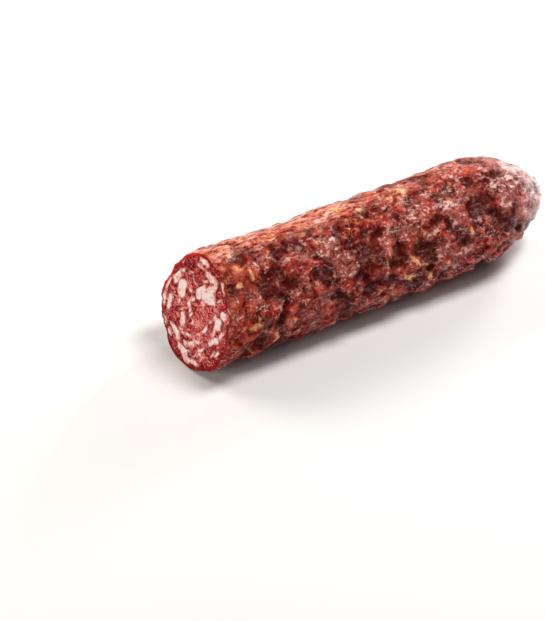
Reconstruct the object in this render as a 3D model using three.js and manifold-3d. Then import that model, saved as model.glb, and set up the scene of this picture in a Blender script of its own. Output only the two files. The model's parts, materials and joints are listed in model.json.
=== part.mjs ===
// A cured sausage: one log of coarse ground meat and fat, dried in its casing until the two are one.
// It lies on a table. A slanting cut ends it on one side. On the other it rounds off where the casing
// was gathered. Millimetres, +Z up, the log along X with the cut end at -X. The origin is the middle
// of the box's underside.

import * as THREE from "three";
import { mergeVertices } from "three/addons/utils/BufferGeometryUtils.js";
import Module from "manifold-3d";

// Driving dimensions of the log.
const DIAMETER = 50;
const LENGTH = 190; // middle of the cut face to the tip
const DOME_LENGTH = 36.5; // how much of that is the rounding end
const FAR_SHRINK = 0.2; // the radius lost along the straight stretch
const CUT_LEAN = 17.8; // degrees that the top of the cut face leans back from upright
const CUT_YAW = 2.7; // degrees that the cut face turns from square across the log
const FLAT_DEPTH = 0.5; // how deep the log's own weight has pressed its underside flat

// How the dried surface differs from a round one.
const OVAL = { height: 0.45, lobes: 2, phase: 0.9, twist: 0.008 };
const CORNERS = { height: 0.35, lobes: 3, phase: 2.3, twist: -0.012 };
const LUMPS = [
  { height: 0.34, lobes: 5, phase: 0.4, wave: 31, shift: 1.1 },
  { height: 0.28, lobes: 8, phase: 1.9, wave: 19, shift: 2.7 },
  { height: 0.2, lobes: 11, phase: 3.3, wave: 13, shift: 0.2 },
];
const SWELLS = [
  { height: 1.3, x: 18, reach: 9, angle: 2.4, spread: 0.7 }, // the shoulder behind the cut
  { height: -2.6, x: 166, reach: 13, angle: -0.75, spread: 0.8 }, // the slim side under the dome
];
const BED_HALF_ANGLE = 0.5; // radians to each side of the underside where the lumps are pressed out
const BOW = -0.5; // how far the middle of the log bows sideways
const PLEATS = { count: 11, depth: 0.5 }; // folds of the gathered casing near the tip

// How finely the surface is divided.
const SIDES = 56;
const STRAIGHT_STEPS = 30;
const DOME_STEPS = 12;

const RADIUS = DIAMETER / 2;
const STRAIGHT = LENGTH - DOME_LENGTH;
const CUT_SPARE = 14; // extra length at the cut end, which the cut takes off
const DOME_SHAPE = { along: 1.52, across: 0.656 };

// The log's radius at a distance x from the middle of the cut face, before any lumps.
function plainRadius(x) {
  const straight = RADIUS - FAR_SHRINK * THREE.MathUtils.clamp(x / STRAIGHT, 0, 1);
  const into = THREE.MathUtils.clamp((x - STRAIGHT) / DOME_LENGTH, 0, 1);
  return straight * (1 - into ** DOME_SHAPE.along) ** DOME_SHAPE.across;
}

// A profile for the lathe: out from the axis at the cut end, along the log, and round the dome back
// to the axis.
function profile() {
  const points = [new THREE.Vector2(0, -CUT_SPARE)];
  for (let i = 0; i <= STRAIGHT_STEPS; i++) {
    const x = THREE.MathUtils.lerp(-CUT_SPARE, STRAIGHT, i / STRAIGHT_STEPS);
    points.push(new THREE.Vector2(plainRadius(x), x));
  }
  for (let i = 1; i < DOME_STEPS; i++) {
    const x = STRAIGHT + DOME_LENGTH * Math.sin((i / DOME_STEPS) * (Math.PI / 2));
    points.push(new THREE.Vector2(plainRadius(x), x));
  }
  points.push(new THREE.Vector2(0, LENGTH));
  return points;
}

// The same angle, between minus half a turn and half a turn.
function turn(angle) {
  return Math.atan2(Math.sin(angle), Math.cos(angle));
}

// How far the surface stands out or in at x, and at an angle round the log from its underside.
function relief(x, angle) {
  let height = 0;
  for (const wave of [OVAL, CORNERS]) {
    height += wave.height * Math.cos(wave.lobes * angle + wave.phase + wave.twist * x);
  }
  let lumps = 0;
  for (const lump of LUMPS) {
    const round = Math.sin(lump.lobes * angle + lump.phase + x / lump.wave);
    lumps += lump.height * round * Math.sin((2 * Math.PI * x) / lump.wave + lump.shift);
  }
  let swells = 0;
  for (const swell of SWELLS) {
    const along = (x - swell.x) / swell.reach;
    const around = turn(angle - swell.angle) / swell.spread;
    swells += swell.height * Math.exp(-(along ** 2) - around ** 2);
  }
  const fromBed = Math.abs(turn(angle));
  const onBed = THREE.MathUtils.smoothstep(fromBed, BED_HALF_ANGLE, 2 * BED_HALF_ANGLE);
  const intoDome = THREE.MathUtils.smoothstep(x, STRAIGHT, LENGTH);
  const pleats = PLEATS.depth * intoDome * Math.cos(PLEATS.count * angle);
  return (height + lumps + swells + pleats) * onBed;
}

// Sideways bow of the log's middle line.
function bow(x) {
  return BOW * Math.sin((Math.PI * x) / LENGTH);
}

// Moves each point of the lathed log out or in by the relief, and stands the middle line at its height.
function shapeLog(geometry) {
  const at = geometry.getAttribute("position");
  for (let i = 0; i < at.count; i++) {
    const x = at.getX(i);
    const y = at.getY(i);
    const z = at.getZ(i);
    const radius = Math.hypot(y, z);
    const angle = Math.atan2(y, -z);
    const grow = radius > 0 ? 1 + (relief(x, angle) * Math.min(1, radius / RADIUS)) / radius : 1;
    at.setXYZ(i, x, y * grow + bow(x), z * grow + RADIUS - FLAT_DEPTH);
  }
  return geometry;
}

// A three.js geometry as a manifold-3d solid, and back.
function toSolid(wasm, geometry) {
  const bare = geometry.clone();
  bare.deleteAttribute("normal");
  bare.deleteAttribute("uv");
  const merged = mergeVertices(bare, 1e-4);
  return new wasm.Manifold(
    new wasm.Mesh({
      numProp: 3,
      vertProperties: merged.getAttribute("position").array,
      triVerts: new Uint32Array(merged.index.array),
    }),
  );
}

function toGeometry(solid) {
  const mesh = solid.getMesh();
  const geometry = new THREE.BufferGeometry();
  geometry.setAttribute("position", new THREE.BufferAttribute(mesh.vertProperties, 3));
  geometry.setIndex(new THREE.BufferAttribute(mesh.triVerts, 1));
  geometry.computeVertexNormals();
  return geometry;
}

// What the knife takes away: a block whose one face is the leaning cut plane.
function knifeBlock() {
  const side = 4 * DIAMETER;
  const block = new THREE.BoxGeometry(side, side, side);
  block.translate(-side / 2, 0, 0);
  block.rotateY(THREE.MathUtils.degToRad(CUT_LEAN));
  block.rotateZ(THREE.MathUtils.degToRad(CUT_YAW));
  return block.translate(0, 0, RADIUS);
}

// What the table presses flat: everything below z = 0.
function tableBlock() {
  const side = 2 * LENGTH;
  return new THREE.BoxGeometry(side, side, side).translate(LENGTH / 2, 0, -side / 2);
}

const wasm = await Module();
wasm.setup();

const lathed = new THREE.LatheGeometry(profile(), SIDES).rotateZ(-Math.PI / 2);
const log = shapeLog(lathed);
const cut = toSolid(wasm, log)
  .subtract(toSolid(wasm, knifeBlock()))
  .subtract(toSolid(wasm, tableBlock()));

const geometry = toGeometry(cut);
geometry.computeBoundingBox();
const box = geometry.boundingBox;
const middle = box.getCenter(new THREE.Vector3());
geometry.translate(-middle.x, -middle.y, -box.min.z);

const sausage = new THREE.Mesh(
  geometry,
  new THREE.MeshStandardMaterial({ color: 0x6e2a26, roughness: 0.45, metalness: 0 }),
);
sausage.name = "cured_sausage";

const model = new THREE.Group();
model.add(sausage);

export default model;
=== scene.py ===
"""A dry cured sausage on a pale table: one log with a marbled cut end and a wrinkled, oily casing.

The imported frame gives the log's solid, the plane of its cut and its box. The script lays a fine skin over
that solid, works the grains, hollows and wrinkles of the dried casing into it, and sets out the meat and
fat of the cut.
"""

import json
import logging
import math
from collections.abc import Iterable
from dataclasses import dataclass
from enum import Enum

import bpy
import numpy as np
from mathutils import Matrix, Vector, noise
from mathutils.bvhtree import BVHTree


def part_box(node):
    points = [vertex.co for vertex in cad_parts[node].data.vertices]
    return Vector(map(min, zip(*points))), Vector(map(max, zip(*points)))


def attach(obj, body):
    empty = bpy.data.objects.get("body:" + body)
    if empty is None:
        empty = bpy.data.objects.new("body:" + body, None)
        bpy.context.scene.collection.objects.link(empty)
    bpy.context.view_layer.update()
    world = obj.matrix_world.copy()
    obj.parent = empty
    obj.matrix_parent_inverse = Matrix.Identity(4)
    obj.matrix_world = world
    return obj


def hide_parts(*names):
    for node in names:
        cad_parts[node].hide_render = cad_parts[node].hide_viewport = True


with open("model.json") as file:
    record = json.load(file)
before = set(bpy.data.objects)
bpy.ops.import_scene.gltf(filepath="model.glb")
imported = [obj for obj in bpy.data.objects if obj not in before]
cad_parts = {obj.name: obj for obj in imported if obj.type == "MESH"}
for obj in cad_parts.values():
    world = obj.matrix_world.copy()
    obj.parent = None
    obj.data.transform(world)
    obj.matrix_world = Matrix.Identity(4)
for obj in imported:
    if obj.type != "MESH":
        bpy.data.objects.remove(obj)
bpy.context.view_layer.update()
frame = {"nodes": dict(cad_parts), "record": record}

MM = 0.001
NODE = "cured_sausage"

Array = np.ndarray
Colour = tuple[float, float, float, float]
Span = tuple[float, float]
Stops = tuple[tuple[float, Colour], ...]
Triple = tuple[float, float, float]
Socket = bpy.types.NodeSocket

log = logging.getLogger("cured_sausage")


def paint(red: int, green: int, blue: int) -> Colour:
    """Turns a display colour into the linear colour that a shader takes.

    Args:
        red: The red channel, from 0 to 255.
        green: The green channel, from 0 to 255.
        blue: The blue channel, from 0 to 255.

    Returns:
        The linear colour, with nothing see-through.
    """
    linear = []
    for channel in (red, green, blue):
        share = channel / 255
        linear.append(share / 12.92 if share <= 0.04045 else ((share + 0.055) / 1.055) ** 2.4)
    return (*linear, 1.0)


def ease(value: Array, low: float, high: float) -> Array:
    """Rises smoothly from 0 where value is at low to 1 where it is at high."""
    share = np.clip((value - low) / (high - low), 0, 1)
    return share * share * (3 - 2 * share)


def sample(points: Array, grain: Triple) -> Array:
    """Reads a smooth noise at many points.

    Args:
        points: The points, one row each, in metres.
        grain: The size of the noise's features along X, Y and Z, in millimetres.

    Returns:
        One value per point, round 0.
    """
    scaled = points / np.array(Vector(grain) * MM)
    return np.fromiter((noise.noise(Vector(point)) for point in scaled), float, len(scaled))


# --------------------------------------------------------------------------------------------------
# The log's form
# --------------------------------------------------------------------------------------------------


@dataclass(frozen=True)
class CutPlane:
    """The plane of the knife's cut: a point on the middle line and the face's outward normal."""

    point: Vector
    normal: Vector

    @classmethod
    def from_record(cls, record: dict) -> "CutPlane":
        """Reads the plane from the record's cut face mount."""
        mount = next(m for m in record["mounts"] if m["name"] == "cut_face")
        return cls(Vector(mount["pos_m"]), Vector(mount["axis"]).normalized())

    def x_at(self, y: Array, z: Array) -> Array:
        """Gives the plane's x over points of the YZ plane."""
        across = self.normal.y * (y - self.point.y) + self.normal.z * (z - self.point.z)
        return self.point.x - across / self.normal.x


@dataclass
class LogForm:
    """The smooth form of the log, measured from its solid as rows of points round a straight middle line.

    Angles round the log count from the top, towards -Y.
    """

    cut: CutPlane
    around: int = 280
    rows: int = 285
    slant_fades: float = 60 * MM
    softening: float = 1.3
    softening_reach: int = 4
    trial_rows: int = 240
    trial_looks: int = 8
    trial_gap: float = 0.01 * MM
    step_inside: float = 0.1 * MM
    tip_gap: float = 0.001 * MM

    def __post_init__(self) -> None:
        """Measures the solid."""
        solid = frame["nodes"][NODE]
        corners = [v.co for v in solid.data.vertices]
        self.tree = BVHTree.FromPolygons(corners, [p.vertices for p in solid.data.polygons])
        lowest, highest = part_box(NODE)
        self.tip = Vector(max(corners, key=lambda co: co.x))
        self.height = highest.z - lowest.z
        self.angles = np.arange(self.around) * (2 * math.pi / self.around)
        self.measure()

    def radius(self, x: float, angle: float) -> float:
        """Finds how far the solid's surface is from the middle line.

        Args:
            x: The place along the log.
            angle: The direction from the middle line.

        Returns:
            The distance in metres, or 0 beyond the solid.
        """
        outward = Vector((0, -math.sin(angle), math.cos(angle)))
        middle = Vector((x, self.tip.y, self.tip.z))
        hit = self.tree.ray_cast(middle + outward * self.height, -outward)[0]
        return (hit - middle).dot(outward) if hit else 0.0

    def stations(self) -> Array:
        """Spaces the rows evenly along the surface, from the cut to the tip.

        Returns:
            Each row's x before the cut's slant is added.
        """
        quarter = np.sin(np.linspace(0, math.pi / 2, self.trial_rows))
        fine = self.cut.point.x + (self.tip.x - self.cut.point.x) * quarter
        looks = np.linspace(0, 2 * math.pi, self.trial_looks, endpoint=False)
        mean = np.array([np.mean([self.radius(x - self.trial_gap, a) for a in looks]) for x in fine])
        mean[-1] = 0
        steps = np.hypot(np.diff(fine), np.diff(mean))
        walked = np.concatenate([[0], np.cumsum(steps)])
        return np.interp(np.linspace(0, walked[-1], self.rows + 1), walked, fine)

    def measure(self) -> None:
        """Fills in the grid of points, its normals and how far each row is from the cut."""
        plain = self.stations()
        self.fade = 1 - ease(plain - self.cut.point.x, 0, self.slant_fades)
        radii = np.full((self.rows + 1, self.around), self.height / 2)
        for _ in range(2):
            x = self.place(plain, radii)[0]
            inside = np.minimum(x + self.step_inside, self.tip.x - self.tip_gap)
            for row in range(self.rows):
                radii[row] = [self.radius(inside[row, k], a) for k, a in enumerate(self.angles)]
        radii[-1] = 0
        radii = self.soften(radii)
        self.grid = np.stack(self.place(plain, radii), axis=-1)
        self.from_cut = (plain - self.cut.point.x)[:, None] * np.ones(self.around)
        self.normals = self.normals_of(self.grid)

    def place(self, plain: Array, radii: Array) -> tuple[Array, Array, Array]:
        """Turns rows of radii into points, leaning the rows near the cut into its plane.

        Args:
            plain: Each row's x before the slant.
            radii: The radius of each point of each row.

        Returns:
            The x, y and z of each point.
        """
        y = self.tip.y - radii * np.sin(self.angles)
        z = self.tip.z + radii * np.cos(self.angles)
        lean = (self.cut.x_at(y, z) - self.cut.point.x) * self.fade[:, None]
        return plain[:, None] + lean, y, z

    def soften(self, radii: Array) -> Array:
        """Smooths away the solid's facets.

        Args:
            radii: The radius of each point of each row.

        Returns:
            The smoothed radii.
        """
        most = self.softening_reach
        reach = np.arange(-most, most + 1)
        weights = np.exp(-0.5 * (reach / self.softening) ** 2)
        weights /= weights.sum()
        turned = sum(w * np.roll(radii, k, axis=1) for w, k in zip(weights, reach))
        padded = np.pad(turned, ((most, most), (0, 0)), mode="reflect", reflect_type="odd")
        return sum(w * padded[most + k : most + k + len(radii)] for w, k in zip(weights, reach))

    @staticmethod
    def normals_of(grid: Array) -> Array:
        """Finds the outward normals of a grid that closes round the log.

        Args:
            grid: The points, row by row.

        Returns:
            One unit normal per point.
        """
        along = np.gradient(grid, axis=0)
        across = np.roll(grid, -1, axis=1) - np.roll(grid, 1, axis=1)
        normals = np.cross(across, along)
        length = np.linalg.norm(normals, axis=-1, keepdims=True)
        normals = normals / np.maximum(length, 1e-12)
        normals[-1] = (1, 0, 0)
        return normals


# --------------------------------------------------------------------------------------------------
# What lies under the casing
# --------------------------------------------------------------------------------------------------


class Grain(Enum):
    """What a patch of the casing shows: what lies under it, or pale bloom with painted sheen on it."""

    LEAN = "lean"
    FAT = "fat"
    # Pale bloom with painted sheen on it.
    BLOOM = "bloom_and_sheen"
    HOLLOW = "hollow"


@dataclass(frozen=True)
class Patch:
    """One oval patch of the casing, in millimetres and degrees.

    along is counted from the cut's middle, around from the top towards the front, and turn from the log's
    length.
    """

    along: float
    around: float
    long: float
    wide: float
    turn: float = 0.0
    strength: float = 1.0


PLACED: dict[Grain, tuple[Patch, ...]] = {
    Grain.LEAN: (
        Patch(38, 38, 6, 6), Patch(14, 27, 4, 3.5), Patch(12, 68, 4, 4), Patch(22, 75, 5, 5),
        Patch(34, 90, 4, 7), Patch(42, 76, 4, 3), Patch(48, 71, 3.5, 4), Patch(63, 73, 3.5, 4),
        Patch(88, 60, 3, 5, 20), Patch(83, 98, 4, 3), Patch(92, 30, 4, 4), Patch(83, 25, 3, 3),
        Patch(135, 22, 3, 3), Patch(131, 68, 2, 3), Patch(120, 68, 3, 2), Patch(116, 92, 3.4, 3.4),
        Patch(116, -3, 4, 5), Patch(92, -8, 5, 4), Patch(76, 0, 4, 3), Patch(83, -5, 3, 2),
        Patch(127, 118, 4, 2.5), Patch(155, 95, 3, 3), Patch(150, 50, 2, 2), Patch(25, 105, 3, 4),
        Patch(60, -10, 8, 2.2), Patch(45, -6, 7, 2), Patch(28, 2, 6, 2), Patch(140, -12, 8, 3),
        Patch(5, 80, 3.4, 3.4), Patch(53, 100, 3.4, 3), Patch(68, 95, 3, 4), Patch(75, 30, 3, 2.6),
        Patch(102, 22, 3.4, 3), Patch(100, 62, 3, 3), Patch(104, 8, 3, 3), Patch(142, 8, 4, 3.4),
        Patch(122, 14, 3, 3), Patch(48, 45, 3, 3), Patch(97, 100, 3, 3), Patch(140, 84, 3, 3),
        Patch(5, 110, 4, 4), Patch(40, 112, 5, 3), Patch(82, 112, 4, 3), Patch(58, 122, 5, 3),
        Patch(165, 62, 4, 4),
    ),
    Grain.FAT: (
        Patch(13, 33, 1.5, 4.4), Patch(8, 24, 3, 2, 30, 0.8), Patch(12, 46, 1.4, 2.4, 0, 0.6),
        Patch(14, 84, 3, 2.6, 0, 0.8), Patch(7, 8, 4.5, 1.4, 0, 0.7), Patch(76, -11, 2, 4),
        Patch(110, -3, 2.6, 4.6), Patch(101, 5, 2.6, 1.6, 0, 0.8), Patch(52, 7, 2, 1.2),
        Patch(29, 17, 2.6, 1, -20, 0.7), Patch(103, 33, 1.3, 2.2, 0, 0.7),
        Patch(101, 45, 0.9, 2.4, 0, 0.6), Patch(57, 32, 1.2, 2, 0, 0.6),
        Patch(132, 68, 1, 2.4, 0, 0.8), Patch(117, 93, 2.4, 2, 0, 0.8),
        Patch(110, 106, 2.6, 3.0, 30), Patch(96, 92, 4.4, 1.3, 45), Patch(101, 82, 3.4, 1.3, 40),
        Patch(106, 86, 3, 1, 25, 0.9), Patch(27, 108, 1.6, 2.6, 0, 0.9),
        Patch(156, 95, 3, 1.4, 0, 0.6), Patch(36, -5, 4, 1, 0, 0.8), Patch(20, -2, 4, 0.9, 0, 0.7),
        Patch(38, 1, 3, 0.8, 0, 0.8), Patch(80, 100, 1.6, 3, 20, 0.8),
        Patch(62, 12, 3, 0.7, -15, 0.6), Patch(134, 104, 2, 2, 0, 0.8),
        Patch(36, 96, 1.6, 3, 0, 0.8),
    ),
    # Pale bloom with painted sheen: lighter patches where the lumps catch the light.
    Grain.BLOOM: (
        Patch(126, 38, 5, 6), Patch(130, 52, 5, 4), Patch(12, 64, 2.4, 2.4),
        Patch(88, 60, 2, 3.4, 20), Patch(60, 46, 4, 3), Patch(88, 48, 4, 4), Patch(14, 56, 3.4, 6),
        Patch(57, 34, 5, 3.4), Patch(108, 36, 5, 3.4), Patch(100, 48, 5, 3), Patch(66, 57, 6, 6),
        Patch(45, 33, 4, 4), Patch(52, 80, 5, 6), Patch(28, 68, 2.4, 6, 20), Patch(42, 62, 3, 4),
        Patch(124, 88, 4, 4), Patch(85, 82, 3, 3), Patch(110, 55, 4, 3), Patch(155, 50, 5, 5),
        Patch(164, 42, 6, 5), Patch(168, 10, 6, 7), Patch(172, 80, 6, 6), Patch(136, 30, 4, 4),
    ),
    Grain.HOLLOW: (
        Patch(22, 50, 5, 6.5), Patch(28, 40, 5, 4), Patch(27, 60, 4, 3), Patch(76, 58, 6, 6),
        Patch(106, 68, 6, 4), Patch(93, 60, 3, 4), Patch(140, 47, 6, 7), Patch(147, 60, 4, 4),
        Patch(100, 108, 6, 4), Patch(72, 76, 5, 3.4), Patch(55, 64, 3, 3), Patch(93, 75, 4, 3.4),
        Patch(128, 78, 4, 3), Patch(150, 70, 5, 4), Patch(28, 92, 3, 5), Patch(60, 88, 4, 4),
        Patch(75, 92, 4, 4), Patch(86, 38, 3, 3), Patch(155, 20, 4, 4), Patch(156, 80, 4, 4),
        Patch(20, 108, 6, 4), Patch(110, 80, 3, 3), Patch(70, 40, 3, 2.4), Patch(116, 45, 3, 3),
        Patch(66, 108, 5, 3),
    ),
}


@dataclass
class Undercasing:
    """The grains of meat and fat that press against the casing, some placed and the rest from a seeded fill.

    Lengths here are in millimetres.
    """

    form: LogForm
    pitch: float = 6.2
    seed: int = 11
    girth_radius: float = 25.0
    broad_grain: Triple = (6, 6, 6)
    close_grain: Triple = (2.4, 2.4, 2.4)
    broad_wander: float = 2.6
    close_wander: float = 1.3
    edge_outside: float = 1.5
    edge_softness: float = 1.1
    reach_margin: float = 4.0
    kinds: tuple[Grain, ...] = (Grain.LEAN, Grain.HOLLOW, Grain.BLOOM, Grain.FAT)
    portions: tuple[float, ...] = (0.46, 0.31, 0.2, 0.03)
    sizes: Span = (0.35, 0.62)
    ratios: Span = (0.6, 1.5)
    turns: Span = (-30, 30)
    fat_size: float = 0.55
    clearance: float = 1.3

    def __post_init__(self) -> None:
        """Lays every patch out and measures how strongly each point of the log belongs to each kind."""
        self.along = self.form.from_cut / MM + self.wander(0.0)
        turned = np.degrees(self.wander(0.3) / self.girth_radius)
        self.around = np.degrees(self.form.angles)[None, :] + turned
        self.share = {kind: np.zeros(self.along.shape) for kind in Grain}
        for kind, patches in PLACED.items():
            for patch in patches:
                self.press(kind, patch)
        for kind, patch in self.fill():
            self.press(kind, patch)

    def wander(self, away: float) -> Array:
        """Gives how far off each point reads its patches, so that their outlines come out ragged.

        Args:
            away: How far the noise is slid, in metres, so that two readings differ.

        Returns:
            The distance in millimetres for each point.
        """
        points = self.form.grid.reshape(-1, 3) + away
        broad = sample(points, self.broad_grain)
        close = sample(points, self.close_grain)
        return (self.broad_wander * broad + self.close_wander * close).reshape(self.form.from_cut.shape)

    def arc(self, patch: Patch, around: Array | float) -> Array | float:
        """Gives the arc in millimetres from a patch to an angle in degrees, the shorter way round."""
        return ((around - patch.around + 180) % 360 - 180) * math.pi / 180 * self.girth_radius

    def press(self, kind: Grain, patch: Patch) -> None:
        """Adds one patch to the share of its kind.

        Args:
            kind: What shows through the patch.
            patch: The patch.
        """
        reach = self.edge_outside * max(patch.long, patch.wide) + self.reach_margin
        rows = np.abs(self.form.from_cut[:, 0] / MM - patch.along) < reach
        along = self.along[rows] - patch.along
        across = self.arc(patch, self.around[rows])
        turn = math.radians(patch.turn)
        main = along * math.cos(turn) + across * math.sin(turn)
        side = across * math.cos(turn) - along * math.sin(turn)
        far = np.hypot(main / patch.long, side / patch.wide)
        pressed = patch.strength * ease(self.edge_outside - far, 0, self.edge_softness)
        self.share[kind][rows] = np.maximum(self.share[kind][rows], pressed)

    def fill(self) -> Iterable[tuple[Grain, Patch]]:
        """Scatters patches over what the placed ones leave free.

        Yields:
            The kind and the patch, in a fixed order.
        """
        draw = np.random.default_rng(self.seed)
        length = self.along.max()
        steps = int(2 * math.pi * self.girth_radius / self.pitch)
        for column in range(int(length / self.pitch) + 1):
            for step in range(steps):
                jitter = draw.uniform(-0.5, 0.5, 2)
                size = draw.uniform(*self.sizes) * self.pitch
                ratio = draw.uniform(*self.ratios)
                turn = draw.uniform(*self.turns)
                kind = self.kinds[draw.choice(len(self.kinds), p=self.portions)]
                along = (column + jitter[0]) * self.pitch
                around = (step + 0.5 * (column % 2) + jitter[1]) * 360 / steps
                if kind is Grain.FAT:
                    size *= self.fat_size
                patch = Patch(along, around % 360, size * ratio**0.5, size / ratio**0.5, turn)
                if not self.taken(patch):
                    yield kind, patch

    def taken(self, patch: Patch) -> bool:
        """Tells whether a placed patch already lies over this one's middle.

        Args:
            patch: The patch to be laid.

        Returns:
            True where it is.
        """
        for placed in (p for patches in PLACED.values() for p in patches):
            along = (patch.along - placed.along) / placed.long
            across = self.arc(placed, patch.around) / placed.wide
            if math.hypot(along, across) < self.clearance:
                return True
        return False


@dataclass
class CasingRelief:
    """How the dried casing stands out and in: grains, folds pulled along the log, and crumpling.

    A grain is in millimetres, along the log and across it. A width is that of a crease, in noise.
    """

    form: LogForm
    under: Undercasing
    lean_rise: float = 1.4 * MM
    fat_rise: float = 0.4 * MM
    hollow_drop: float = 1.6 * MM
    full_swing: float = 4.0 * MM

    swell: float = 0.6 * MM
    swell_grain: Span = (15, 9)
    fold: float = 0.45 * MM
    fold_grain: Span = (14, 4)
    fold_width: float = 0.2
    fold_below: float = 0.35
    crumple: float = 0.6 * MM
    crumple_grain: Span = (5.8, 5)
    crumple_width: float = 0.2
    crumpled_grain: Span = (12, 10)
    crumpled_more: float = 0.35
    crumpled_less_on_lean: float = 0.5
    crumpled_band: Span = (-0.2, 0.5)
    fine: float = 0.25 * MM
    small_grain: Span = (3.4, 3)
    small_width: float = 0.24
    rough_grain: Span = (2, 1.8)
    rough_share: float = 0.5

    tip_keeps: float = 0.3
    tip_calm: float = 22 * MM
    bed_half_angle: float = math.radians(16)
    bed_reach: float = 3.6
    taut_side: float = math.radians(-42)
    taut_keeps: float = 0.45
    taut_band: Span = (-0.95, -0.4)
    rim_roll: float = 0.3 * MM
    rim_roll_fades: float = 0.8 * MM

    def __post_init__(self) -> None:
        """Works out the height of every point over the smooth form."""
        share = self.under.share
        less = self.crumpled_less_on_lean * share[Grain.LEAN]
        where = ease(self.field(self.crumpled_grain) + self.crumpled_more - less, *self.crumpled_band)
        top = 0.5 + 0.5 * np.cos(self.form.angles)[None, :]
        folds = self.creases(self.fold_grain, self.fold_width)
        folds = folds * (self.fold_below + (1 - self.fold_below) * top)
        crumples = self.creases(self.crumple_grain, self.crumple_width) * where
        small = self.creases(self.small_grain, self.small_width) * where
        rough = self.rough_share * self.field(self.rough_grain)
        height = (
            self.lean_rise * share[Grain.LEAN]
            + self.fat_rise * share[Grain.FAT]
            - self.hollow_drop * share[Grain.HOLLOW]
            + self.swell * self.field(self.swell_grain)
            + self.fold * folds
            + self.crumple * crumples
            + self.fine * (small + rough)
        )
        rolled = self.rim_roll * np.exp(-self.form.from_cut / self.rim_roll_fades)
        self.height = height * self.kept() - rolled
        self.raised = np.clip(0.5 + height / self.full_swing, 0, 1)

    def field(self, grain: Span) -> Array:
        """Reads a smooth noise over the whole log.

        Args:
            grain: The size of its features.

        Returns:
            One value per point, round 0.
        """
        along, across = grain
        values = sample(self.form.grid.reshape(-1, 3), (along, across, across))
        return values.reshape(self.form.from_cut.shape)

    def creases(self, grain: Span, width: float) -> Array:
        """Gives ridges that are 1 where a noise crosses 0."""
        return np.exp(-((self.field(grain) / width) ** 2))

    def kept(self) -> Array:
        """Gives how much of the relief is kept: less at the tip and on the taut side, none on the bed.

        Returns:
            A share from 0 to 1 for each point.
        """
        angles = self.form.angles
        to_tip = self.form.tip.x - self.form.grid[..., 0]
        tip = self.tip_keeps + (1 - self.tip_keeps) * ease(to_tip, 0, self.tip_calm)
        from_below = math.pi - np.abs((angles + math.pi) % (2 * math.pi) - math.pi)
        bed = ease(from_below, self.bed_half_angle, self.bed_reach * self.bed_half_angle)
        loose = ease(-np.cos(angles - self.taut_side), *self.taut_band)
        taut = self.taut_keeps + (1 - self.taut_keeps) * loose
        return tip * taut[None, :] * bed[None, :]

    def surface(self) -> Array:
        """Places the casing's points, with the first row kept in the plane of the cut.

        Returns:
            The points, row by row.
        """
        form = self.form
        moved = form.grid + form.normals * self.height[..., None]
        plain = form.cut.x_at(form.grid[..., 1], form.grid[..., 2])
        lean = form.cut.x_at(moved[..., 1], moved[..., 2]) - plain
        moved[..., 0] += lean * form.fade[:, None]
        moved[..., 2] = np.maximum(moved[..., 2], 0)
        moved[0, :, 0] = form.cut.x_at(moved[0, :, 1], moved[0, :, 2])
        moved[-1] = form.tip
        return moved


# --------------------------------------------------------------------------------------------------
# The cut
# --------------------------------------------------------------------------------------------------


@dataclass(frozen=True)
class FatPiece:
    """One piece of fat on the cut, in millimetres: its place from the middle, half its length and width."""

    right: float
    up: float
    long: float
    wide: float
    turn: float = 0.0


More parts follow.
